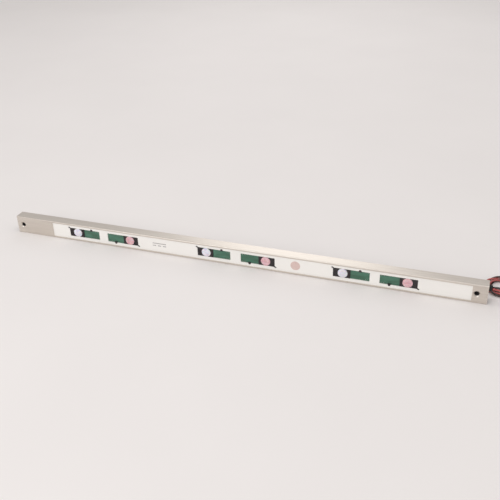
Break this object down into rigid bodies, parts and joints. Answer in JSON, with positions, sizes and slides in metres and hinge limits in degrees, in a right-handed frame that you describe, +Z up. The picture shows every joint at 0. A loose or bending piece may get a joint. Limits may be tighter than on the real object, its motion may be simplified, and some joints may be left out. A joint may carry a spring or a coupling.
{
  "type": "led strip batten",
  "caption": "Slim rectangular metal LED bar with a white front strip, windowed lamp modules, countersunk end holes and a two-wire lead tied in a hank.",
  "frame": {"origin": "bottom centre of the bar, without its lead", "axes": "+X along the bar towards the lead end, -Y out of the windowed front face, +Z up"},
  "size_m": [0.616, 0.0515, 0.02],
  "materials": {
    "housing_metal": "satin",
    "strip_white": "satin",
    "black_moulding": "fine moulded texture",
    "board_green": "solder resist",
    "lens_white": "diffusing",
    "lens_red": "diffusing",
    "led_ceramic": "ceramic with phosphor",
    "chip_black": "matt",
    "white_nylon": "moulded",
    "foam_pad": "closed-cell foam",
    "ferrite_black": "sintered",
    "copper_winding": "enamelled",
    "capacitor_can": "bright",
    "grommet_rubber": "matt",
    "screw_steel": "bright",
    "wire_red": "smooth insulation",
    "wire_black": "smooth insulation",
    "tie_nylon": "moulded",
    "pin_tin": "tin plated"
  },
  "bodies": {
    "root": {"board_latches": "black_moulding", "bus_wire_black": "wire_black", "bus_wire_red": "wire_red", "cable_grommet": "grommet_rubber", "driver_board": "board_green", "driver_capacitor": "capacitor_can", "driver_chip": "chip_black", "driver_inductor": "ferrite_black", "driver_pad": "foam_pad", "driver_terminal": "white_nylon", "end_block_left": "black_moulding", "end_block_right": "black_moulding", "end_screws": "screw_steel", "front_strip": "strip_white", "hank_tie": "tie_nylon", "housing": "housing_metal", "inductor_winding": "copper_winding", "lead_hank": "wire_red", "lead_plug": "white_nylon", "lead_wire": "wire_red", "module_1_board": "board_green", "module_1_circuit": "chip_black", "module_1_holder": "black_moulding", "module_1_led": "led_ceramic", "module_1_lens": "lens_white", "module_2_board": "board_green", "module_2_circuit": "chip_black", "module_2_holder": "black_moulding", "module_2_led": "led_ceramic", "module_2_lens": "lens_red", "module_3_board": "board_green", "module_3_circuit": "chip_black", "module_3_holder": "black_moulding", "module_3_led": "led_ceramic", "module_3_lens": "lens_white", "module_4_board": "board_green", "module_4_circuit": "chip_black", "module_4_holder": "black_moulding", "module_4_led": "led_ceramic", "module_4_lens": "lens_red", "module_5_board": "board_green", "module_5_circuit": "chip_black", "module_5_holder": "black_moulding", "module_5_led": "led_ceramic", "module_5_lens": "lens_white", "module_6_board": "board_green", "module_6_circuit": "chip_black", "module_6_holder": "black_moulding", "module_6_led": "led_ceramic", "module_6_lens": "lens_red", "module_pads": "foam_pad", "plug_pins": "pin_tin", "wire_terminals": "white_nylon"}
  },
  "joints": []
}
